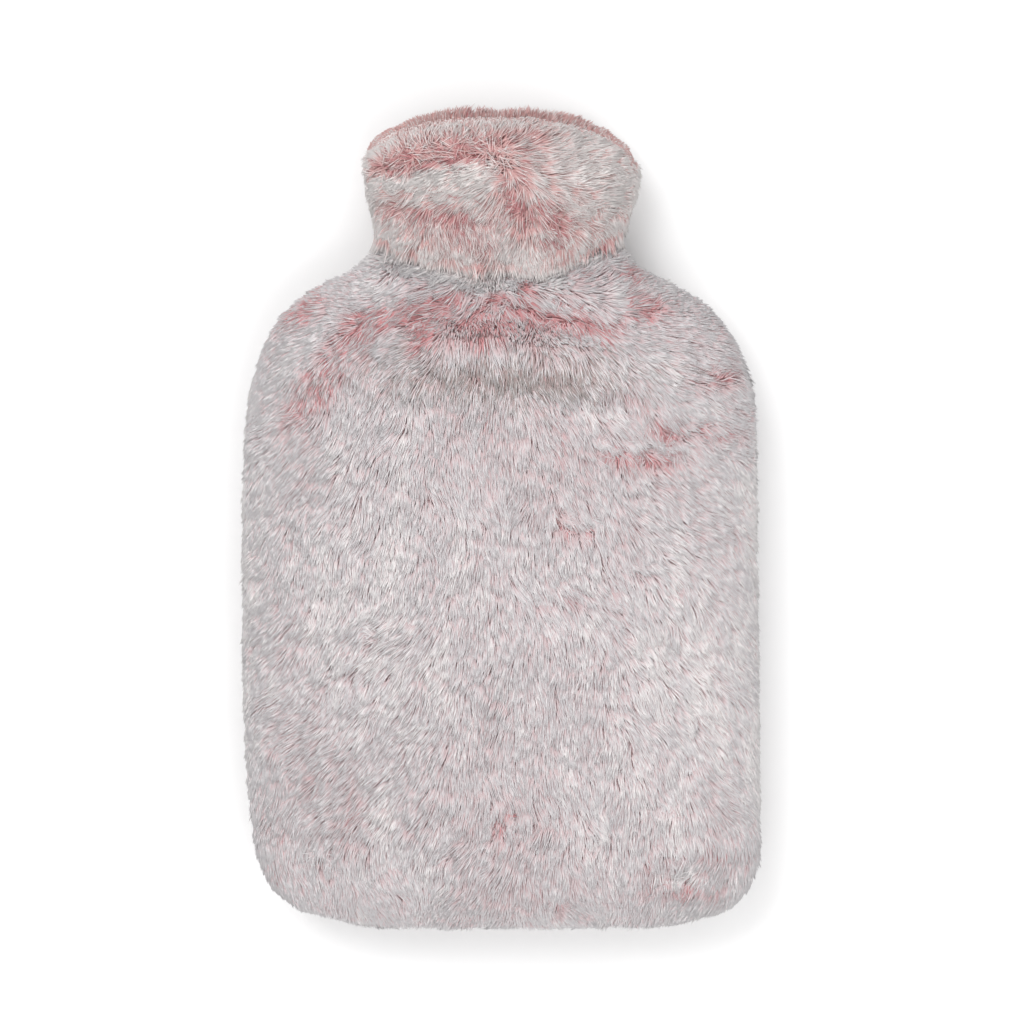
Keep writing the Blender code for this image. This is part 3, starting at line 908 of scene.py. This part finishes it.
class Growth:
    """The strands of one piece as they grow.

    All steps draw from one seeded source, so their order matters: comb, lengths, heights, bend
    and tones.
    """

    BEND = 0.26  # share of the way to its tip at which a strand bends over
    DEPTH = 0.0006  # depth of the roots and bulge of the bends, in metres
    SHORT = 0.5  # share of the length kept under other strands and along the shoulders' top
    RIM_LENGTH = 0.42  # share of the length kept on the mouth's far lip
    RIM_HEIGHT = 1.25  # share of the height there
    PLAIN_TONE = 0.68  # tone of a plain strand
    # Painted shade: the tones on the next line darken a strand's colour through the map.
    PAINTED_SHADE_TONES = (0.86, 0.97)  # tones of the strands in shade
    BARE_WEAR = (0.42, 0.66)  # wear of the far lip's bare strands

    def __init__(self, coat: Coat, roots: Array, facing: Array, rim: Array) -> None:
        """Plants the strands and groups them.

        Args:
            coat: The coat that they belong to.
            roots: The strands' roots.
            facing: The bed's normals there.
            rim: Which strands are the short rosy ones round the mouth's far lip.
        """
        self.coat, self.roots, self.facing, self.rim = coat, roots, facing, rim
        self.count = len(roots)
        self.rng = np.random.default_rng(coat.seed + 5)
        self.along, self.shown, self.whorl = coat.laid(roots, facing, rim)
        self.locks = Groups(roots, coat.lock, self.rng)
        self.tufts = Groups(roots, coat.tuft, self.rng)

        self.upper = roots[:, 2] > SEAM_Z
        self.lip = 1.0 - 0.6 * np.clip((np.abs(roots[:, 0] - MOUTH_X) - 0.026) / 0.020, 0.0, 1.0)
        self.ruffled = np.zeros(self.count)
        if coat.ruff:
            below = -past_line(roots, coat.ruff) - 0.001
            self.ruffled = np.exp(-((below / 0.005) ** 2)) * self.upper
        self.past_crest = np.full(self.count, -1.0)
        if coat.crest:
            self.past_crest = np.where(self.upper, past_line(roots, coat.crest), -1.0)

    def noise(self, spread: float, mean: float = 0.0) -> Array:
        """Draws one number for each strand."""
        return self.rng.normal(mean, spread, self.count)

    def chance(self, share: float | Array) -> Array:
        """Picks about a given share of the strands."""
        return self.rng.uniform(size=self.count) < share

    def comb(self) -> None:
        """Turns each strand a little, the most in the partings and the whorls."""
        turn = self.locks.noise(0.11) + self.tufts.noise(0.07)
        turn = (turn + self.noise(0.10)) * self.coat.tousle
        turn *= 1.0 + np.maximum(3.5 * self.shown, 6.0 * self.whorl)
        across = np.cross(self.facing, self.along)
        self.along = unit(self.along * np.cos(turn)[:, None] + across * np.sin(turn)[:, None])

    def lengths(self) -> Array:
        """Draws the strands' lengths, and marks those that stay low under the others.

        Returns:
            The lengths in metres, cut where the strands would pass the hem or the crest.
        """
        stature = self.tufts.noise(0.09, 1.0) * self.noise(0.14, 1.0)
        self.under = self.chance(0.4 * np.maximum(self.shown, self.whorl))
        short = np.clip(0.7 + self.facing[:, 2], 0.75, 1.0)
        for low in (self.under, self.facing[:, 1] > 0.45):
            short *= np.where(low, self.SHORT, 1.0)
        short = np.where(self.rim, self.RIM_LENGTH * self.lip, short)
        length = self.coat.length * np.clip(stature, 0.55, 1.4) * short
        length *= 1.0 - np.maximum(0.15 * self.shown, 0.30 * self.whorl)
        for line, way, least in ((self.coat.hem, -1, 0.0025), (self.coat.crest, 1, 0.0012)):
            if line:
                room = self.noise(0.0016) - way * past_line(self.roots, line)
                room = np.maximum(room / np.maximum(way * self.along[:, 1], 0.2), least)
                length = np.where(self.upper, np.minimum(length, room), length)
        length *= 1.0 - 0.45 * np.clip((self.past_crest + 0.009) / 0.005, 0.0, 1.0)
        return length * (1.0 + 0.2 * self.ruffled)

    def heights(self, length: Array) -> Array:
        """Draws how high the strands' tips lie over the bed.

        Args:
            length: The strands' lengths in metres.

        Returns:
            The heights in metres, lower at the hem and over the crest.
        """
        self.lift = np.clip(self.noise(0.12, 1.0), 0.6, 1.3) * np.where(self.under, 0.75, 1.0)
        height = self.coat.height * (1.0 + self.locks.noise(0.12))
        height *= self.lift * (1.0 - 0.20 * self.shown)
        if self.coat.hem:
            low = 0.6 + 0.4 * np.clip(past_line(self.roots, self.coat.hem) / 0.009, 0.0, 1.0)
            height *= np.where(self.upper, low, 1.0)
        height *= 1.0 + 0.6 * self.ruffled
        past = self.past_crest + self.along[:, 1] * length
        height *= 1.0 - 0.7 * np.clip((past + 0.003) / 0.003, 0.0, 1.0)
        return height * np.where(self.rim, self.RIM_HEIGHT * self.lip, 1.0)

    def bend(self, length: Array, height: Array, surface: Surface) -> tuple[Array, Array, Array]:
        """Lays the strands over the cover and gathers their tips in tufts.

        Args:
            length: The strands' lengths in metres.
            height: How high their tips lie, in metres.
            surface: What they lie on.

        Returns:
            The strands' roots, the points where they bend over, and their tips.
        """
        reach = self.roots + self.along * length[:, None] + self.facing * height[:, None]
        level = surface.lay(reach, height)
        head = self.tufts.head
        gather = self.coat.gather * self.rng.uniform(0.3, 1.2, self.count)
        near = np.linalg.norm(self.roots - self.roots[head], axis=1) < 2.5 * self.coat.tuft
        gathered = (near & ~self.under & ~self.rim)[:, None]
        tip = np.where(gathered, level + (level[head] - level) * gather[:, None], level)
        middle = self.roots + (tip - self.roots) * self.BEND
        middle += self.facing * (self.BEND * height + self.DEPTH)[:, None]
        base = self.roots - self.facing * self.DEPTH
        for points in (base, middle, tip):
            points[:, 2] = np.maximum(points[:, 2], self.coat.floor)
        return base, middle, tip

    def tones(self) -> tuple[Array, Array]:
        """Gives each strand its place on the pile's map.

        Returns:
            The strands' tones, and how far down the map their tips end.
        """
        roots, seed = self.roots, self.coat.seed
        rosy, worn, painted_shade = self.coat.comb.tinted(roots[:, :2] / MM)
        rosy += self.coat.rosiness + 0.20 * self.shown + np.where(self.rim, 0.10, 0.0)
        rosy += 0.07 * ripple(roots * (1.0, 0.4, 1.0), 0.018, seed + 21)
        rosy += 0.07 * ripple(roots * (1.0, 0.3, 1.0), 0.005, seed + 22)
        # Painted light: strands just under the collar's hem are less rosy, so their tips come out
        # whiter against the hem's shadow.
        rosy -= 0.12 * self.ruffled

        tone = self.PLAIN_TONE - 0.85 * np.clip(rosy - 0.10, -0.14, 0.70)
        tone += 0.45 * (self.lift - 1.0)
        apart = 0.48 * np.clip(rosy - 0.22, 0.0, 0.50) * (1.0 + 0.4 * self.noise(1.0))
        tone += np.where(self.chance(0.5), apart, -apart)
        tone += self.tufts.noise(0.03) + self.noise(0.04)
        tone = np.clip(tone, 0.02, PAINTED_SHADE_START - 0.03)
        # Painted shade: in the tinted patches a share of the strands take the darkened tones.
        in_painted_shade = self.chance(np.where(self.rim, 0.0, painted_shade))
        tone = np.where(in_painted_shade, self.rng.uniform(*self.PAINTED_SHADE_TONES, self.count), tone)

        # Painted light: the strands under the collar's hem are also less worn, which shows more
        # of their whitened tips.
        worn += self.tufts.noise(0.05) + self.noise(0.05) - 0.10 * self.ruffled
        bare = self.chance(0.65) & self.rim
        worn += np.where(bare, self.rng.uniform(*self.BARE_WEAR, self.count), 0.0)
        worn += np.clip(1.0 - self.lift, 0.0, 0.4) * np.clip(2.0 * rosy, 0.2, 1.2)
        return tone, np.clip(worn + 0.12 * self.shown, 0.0, 0.8)

    def piece(self, name: str, surface: Surface) -> bpy.types.Object:
        """Grows the strands.

        Args:
            name: The piece's name.
            surface: What the strands lie on.

        Returns:
            One piece of all the strands, each a slim closed blade bent over near its root.
        """
        self.comb()
        length = self.lengths()
        places = self.bend(length, self.heights(length), surface)
        tone, worn = self.tones()
        width = self.coat.width * self.rng.uniform(0.7, 1.3, self.count)
        lit = np.where(self.rim[:, None], unit(self.facing + (0.0, 0.0, 1.6)), self.facing)
        tufts, locks = self.tufts.count, self.locks.count
        log.info("%s: %d strands, %d tufts, %d locks", name, self.count, tufts, locks)
        return Strands(*places, self.facing, lit, width, tone, worn).piece(name)


@dataclass
class Strands:
    """The points of many strands, ready to be joined into one mesh.

    Attributes:
        base: Root points.
        middle: Points where the strands bend over.
        tip: Tip points.
        facing: The bed's normals.
        shading: Normals that the strands are shaded with.
        width: Widths in metres.
        tone: Places across the pile's map, from rosy at 0 to frosted at 1.
        worn: How far down the map the tips end, from 0 for a whole tip.
    """

    base: Array
    middle: Array
    tip: Array
    facing: Array
    shading: Array
    width: Array
    tone: Array
    worn: Array

    def piece(self, name: str) -> bpy.types.Object:
        """Joins the strands into one mesh of closed blades with its own map.

        Args:
            name: The piece's name.

        Returns:
            The piece.
        """
        count = len(self.base)
        half = self.width[:, None] * 0.5
        run = unit(self.tip - self.base)
        across = unit(np.cross(self.facing, run))
        up = np.cross(run, across)
        right = self.middle + across * half
        left = self.middle - across * half
        points = np.stack([self.base, right, left, self.tip], axis=1)
        faces = np.array([[0, 2, 1], [3, 1, 2], [0, 1, 3], [0, 3, 2]])
        corners = (faces[None] + 4 * np.arange(count)[:, None, None]).reshape(-1)

        mesh = bpy.data.meshes.new(name)
        mesh.vertices.add(4 * count)
        mesh.vertices.foreach_set("co", points.reshape(-1).astype(np.float32))
        mesh.loops.add(len(corners))
        mesh.loops.foreach_set("vertex_index", corners.astype(np.int32))
        mesh.polygons.add(4 * count)
        mesh.polygons.foreach_set("loop_start", np.arange(0, len(corners), 3, dtype=np.int32))
        mesh.update(calc_edges=True)

        step = 3 * MAP_PIXEL
        across_map = self.tone[:, None] + np.array([0.0, -step, step, 0.0])
        up_map = (1.0 - self.worn[:, None]) * np.array([0.004, 0.30, 0.30, 0.996])
        places = np.stack([across_map, up_map], axis=2).reshape(-1, 2)
        layer = mesh.uv_layers.new(name=PILE_MAP)
        layer.uv.foreach_set("vector", places[corners].reshape(-1).astype(np.float32))

        share = np.clip(0.35 + self.shading[:, 2:3], 0.0, 0.8)
        radial = np.stack([up - run, across + 0.3 * up, 0.3 * up - across, up + run], axis=1)
        soft = radial * (1.0 - share[:, :, None]) + (self.shading * share)[:, None, :]
        soft = unit(soft.reshape(-1, 3))
        mesh.shade_smooth()
        mesh.normals_split_custom_set_from_vertices(soft.tolist())
        made = bpy.data.objects.new(name, mesh)
        bpy.context.scene.collection.objects.link(made)
        return made


def read_places(mesh: bpy.types.Mesh) -> Array:
    """Reads where a mesh's vertices are.

    Args:
        mesh: The mesh.

    Returns:
        Their places, as an (n, 3) array in metres.
    """
    places = np.empty(len(mesh.vertices) * 3, np.float32)
    mesh.vertices.foreach_get("co", places)
    return places.reshape(-1, 3).astype(float)


def write_places(mesh: bpy.types.Mesh, places: Array) -> None:
    """Moves a mesh's vertices to the places in an (n, 3) array."""
    mesh.vertices.foreach_set("co", places.reshape(-1).astype(np.float32))
    mesh.update()


def triangle_soup(mesh: bpy.types.Mesh) -> tuple[Array, Array, Array]:
    """Reads a mesh's triangles.

    Args:
        mesh: The mesh.

    Returns:
        The triangles' corners, the vertices' places and the vertices' normals.
    """
    mesh.calc_loop_triangles()
    corners = np.empty(len(mesh.loop_triangles) * 3, np.int32)
    mesh.loop_triangles.foreach_get("vertices", corners)
    normals = np.empty(len(mesh.vertices) * 3, np.float32)
    mesh.vertices.foreach_get("normal", normals)
    return corners.reshape(-1, 3), read_places(mesh), normals.reshape(-1, 3).astype(float)


@dataclass
class FurPiece:
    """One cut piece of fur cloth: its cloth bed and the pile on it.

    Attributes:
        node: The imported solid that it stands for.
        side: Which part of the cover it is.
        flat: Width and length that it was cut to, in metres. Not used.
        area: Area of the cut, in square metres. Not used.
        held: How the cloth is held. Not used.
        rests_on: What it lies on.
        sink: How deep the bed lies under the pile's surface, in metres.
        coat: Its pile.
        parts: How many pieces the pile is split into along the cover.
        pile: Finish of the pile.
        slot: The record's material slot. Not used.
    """

    node: str
    side: Side
    flat: tuple[float, float]
    area: float
    held: str
    rests_on: tuple[str, ...]
    sink: float
    coat: Coat
    parts: int
    pile: PileFinish
    slot: str

    def furred(self, places: Array, normals: Array) -> Array:
        """Which places of the solid's surface carry pile.

        Args:
            places: Places on the surface, in metres.
            normals: Normals there.

        Returns:
            True for each place on the outside, and for the collar also on its roll.
        """
        x, y, z = places.T
        if self.side is Side.COLLAR:
            out = np.stack([(x - 0.0005) / 0.058**2, 0 * y, (z - SEAM_Z) / 0.026**2], axis=1)
            slot = (np.abs(x + 0.0008) / 0.0465) ** 2.4 + (np.abs(z - SEAM_Z) / 0.0180) ** 2.4
            outside = ((unit(out) * normals).sum(axis=1) > 0.1) & (slot > 1.0)
            return outside | (y > ROLL_Y)
        out = np.stack([x / 0.110**2, y / 0.400**2, (z - SEAM_Z) / 0.030**2], axis=1)
        return (unit(out) * normals).sum(axis=1) > 0.1

    def copy_solid(self) -> bpy.types.Object:
        """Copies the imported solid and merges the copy's loose triangles.

        Returns:
            The copy, which is the active object.
        """
        deselect()
        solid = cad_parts[self.node]
        bpy.context.view_layer.objects.active = solid
        solid.select_set(True)
        bpy.ops.object.duplicate()
        bed = bpy.context.object
        bed.name = f"{self.node}_backing"
        for key in list(bed.keys()):
            del bed[key]
        bed.parent = None
        bpy.ops.object.mode_set(mode="EDIT")
        bpy.ops.mesh.select_all(action="SELECT")
        bpy.ops.mesh.remove_doubles(threshold=0.00001)
        bpy.ops.mesh.customdata_custom_splitnormals_clear()
        bpy.ops.object.mode_set(mode="OBJECT")
        return bed

    def make_bed(self) -> bpy.types.Object:
        """Makes the cloth bed: a finer copy of the solid with its furred faces sunk.

        Returns:
            The bed, which stands for the solid.
        """
        bed = self.copy_solid()
        _, places, normals = triangle_soup(bed.data)
        furred = self.furred(places, normals)
        seam = np.abs(places[:, 2] - SEAM_Z) < (0.0 if self.side is Side.COLLAR else 0.0025)
        for label, chosen in (("furred", furred), ("eased", furred & ~seam)):
            group = bed.vertex_groups.new(name=label)
            group.add(np.flatnonzero(chosen).tolist(), 1.0, "REPLACE")
        modify(bed, "DISPLACE", vertex_group="furred", strength=-self.sink, mid_level=0.0)
        sunk = read_places(bed.data)
        sunk[seam, 2] = places[seam, 2]
        write_places(bed.data, sunk)
        modify(bed, "SMOOTH", vertex_group="eased", factor=0.3, iterations=2)
        modify(bed, "SUBSURF", levels=1, render_levels=1)
        bed.vertex_groups.clear()
        bpy.ops.object.shade_smooth()
        places = read_places(bed.data)
        places[:, 2] = np.maximum(places[:, 2], self.coat.floor)
        write_places(bed.data, places)
        self.blush(bed, places[:, :2] / MM)
        bed.data.materials.clear()
        bed.data.materials.append(BACKING.material())
        return bed

    def blush(self, bed: bpy.types.Object, flat: Array) -> None:
        """Writes how rosy the bed's underfur is.

        Args:
            bed: The cloth bed.
            flat: Its vertices seen from above, as an (n, 2) array in millimetres.
        """
        comb = self.coat.comb
        rosy = self.coat.rosiness + comb.tinted(flat)[0] + comb.parted(flat)[1]
        blush = bed.data.attributes.new(BLUSH, "FLOAT", "POINT")
        blush.data.foreach_set("value", np.clip(rosy, 0.0, 1.0).astype(np.float32))

    def cover(self, bed: bpy.types.Object, surface: Surface) -> list[bpy.types.Object]:
        """Covers the bed with its pile.

        Args:
            bed: The cloth bed.
            surface: What the strands lie on.

        Returns:
            The pile's pieces, from the collar's end to the bottom.
        """
        corners, places, normals = triangle_soup(bed.data)
        centres = places[corners].mean(axis=1)
        facing = unit(normals[corners].mean(axis=1))
        mask = self.furred(centres, facing)
        weight = np.ones(len(centres))
        if self.side is Side.BACK:
            weight = np.where(facing[:, 2] < -0.9, 0.45, 1.4)
        if self.side is Side.COLLAR:
            weight = np.where(facing[:, 2] < -0.3, 0.55, 1.2)
            weight = np.where((centres[:, 1] < 0.115) & (facing[:, 2] > 0), 1.8, weight)
        roots, up = self.coat.scatter(bed, mask, weight)
        order = np.argsort(-roots[:, 1], kind="stable")
        rim = np.zeros(len(roots), bool)
        if self.side is Side.COLLAR:
            behind = (roots[:, 2] < SEAM_Z) & (roots[:, 1] > ROLL_Y)
            rim = behind & ((up[:, 2] > -0.2) | (past_line(roots, COLLAR_CREST) > -0.004))
        made = []
        for index, chosen in enumerate(np.array_split(order, self.parts)):
            name = f"{self.node}_pile_{index + 1}" if self.parts > 1 else f"{self.node}_pile"
            growth = Growth(self.coat, roots[chosen], up[chosen], rim[chosen])
            made.append(growth.piece(name, surface))
            made[-1].data.materials.append(self.pile.material())
        return made

    def finish(self, bed: bpy.types.Object, surface: Surface) -> None:
        """Grows the bed's pile and hooks both to the frame.

        Args:
            bed: The cloth bed.
            surface: What the strands lie on.
        """
        strands = self.cover(bed, surface)
        for piece in (bed, *strands):
            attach(piece, "root")
        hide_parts(self.node)
        list(self.rests_on)
        log.info("%s: bed of %d faces", self.node, len(bed.data.polygons))


@dataclass
class Studio:
    """The pale floor, the soft lights and the camera.

    Attributes:
        pixel: Width of a pixel of the photograph at the side seam's height, in metres.
        lens: Focal length in millimetres.
        centre: Where the photograph's centre falls on the cover, in metres.
    """

    pixel: float = 0.0004242
    lens: float = 200.0
    centre: tuple[float, float] = (0.00467, 0.00233)

    def floor(self) -> None:
        """Lays a plain pale floor."""
        deselect()
        bpy.ops.mesh.primitive_plane_add(size=8.0, location=(0.0, 0.0, 0.0))
        ground = bpy.context.object
        ground.name = "floor"
        finish, shader = new_material("pale_floor", 0.9, 0.1)
        shader.inputs["Base Color"].default_value = (0.93, 0.93, 0.93, 1.0)
        ground.data.materials.append(finish)

    def light(self, name: str, place: Point, size: float, power: float) -> None:
        """Hangs a square soft light that points at the cover.

        Args:
            name: The light's name.
            place: Where it hangs, in metres.
            size: Its side in metres.
            power: Its power in watts.
        """
        lamp = bpy.data.lights.new(name, "AREA")
        lamp.size = size
        lamp.energy = power
        hung = bpy.data.objects.new(name, lamp)
        hung.location = place
        hung.rotation_euler = (-Vector(place)).to_track_quat("-Z", "Y").to_euler()
        bpy.context.scene.collection.objects.link(hung)

    def camera(self) -> None:
        """Puts the camera straight over the cover, as in the photograph."""
        eye = bpy.data.cameras.new("camera")
        eye.lens = self.lens
        eye.sensor_width = 36.0
        eye.clip_start = 0.01
        held = bpy.data.objects.new("camera", eye)
        distance = 1024 * self.pixel * self.lens / 36.0
        held.location = (*self.centre, SEAM_Z + distance)
        bpy.context.scene.collection.objects.link(held)
        bpy.context.scene.camera = held

    def build(self) -> None:
        """Builds the studio."""
        scene = bpy.context.scene
        scene.view_settings.view_transform = "Standard"
        world = bpy.data.worlds.new("studio")
        world.use_nodes = True
        background = world.node_tree.nodes["Background"]
        background.inputs["Color"].default_value = (1.0, 1.0, 1.0, 1.0)
        background.inputs["Strength"].default_value = 0.80
        scene.world = world
        self.floor()
        self.light("key", (-0.7, 0.9, 1.6), 1.2, 18.5)
        self.light("fill", (0.60, -1.05, 1.5), 1.6, 13.5)
        self.camera()


def main() -> None:
    """Builds the studio and the cover's three pieces."""
    logging.basicConfig(level=logging.INFO, format="%(message)s")
    Studio().build()
    panel = {
        "flat": (0.235, 0.320),
        "area": 0.068,
        "sink": 0.0033,
        "pile": PANEL_PILE,
        "slot": "panel_fur",
    }
    face = Comb(PANEL_LAY, PANEL_PARTINGS, PANEL_TINTS)
    pieces = [
        FurPiece(
            node="back_panel",
            side=Side.BACK,
            held="laid",
            rests_on=("floor",),
            coat=Coat(Comb(PANEL_LAY, [], []), strands=36000, width=0.0008, seed=40),
            parts=1,
            **panel,
        ),
        FurPiece(
            node="front_panel",
            side=Side.FRONT,
            held="gathered",
            rests_on=("back_panel",),
            coat=Coat(face, strands=139500, ruff=COLLAR_HEM, seed=10),
            parts=3,
            **panel,
        ),
        FurPiece(
            node="collar",
            side=Side.COLLAR,
            flat=(0.280, 0.110),
            area=0.024,
            held="folded",
            rests_on=("front_panel", "back_panel"),
            sink=0.0035,
            coat=Coat(
                Comb(COLLAR_LAY, COLLAR_PARTINGS, COLLAR_TINTS, soften=3.0),
                strands=46500,
                length=0.0100,
                height=0.0038,
                lock=0.0040,
                tuft=0.0018,
                tousle=1.6,
                hem=COLLAR_HEM,
                crest=COLLAR_CREST,
                rosiness=0.28,
                seed=70,
            ),
            parts=1,
            pile=COLLAR_PILE,
            slot="collar_fur",
        ),
    ]
    beds = [piece.make_bed() for piece in pieces]
    surface = Surface(beds)
    for piece, bed in zip(pieces, beds):
        piece.finish(bed, surface)


if __name__ == "__main__":
    main()
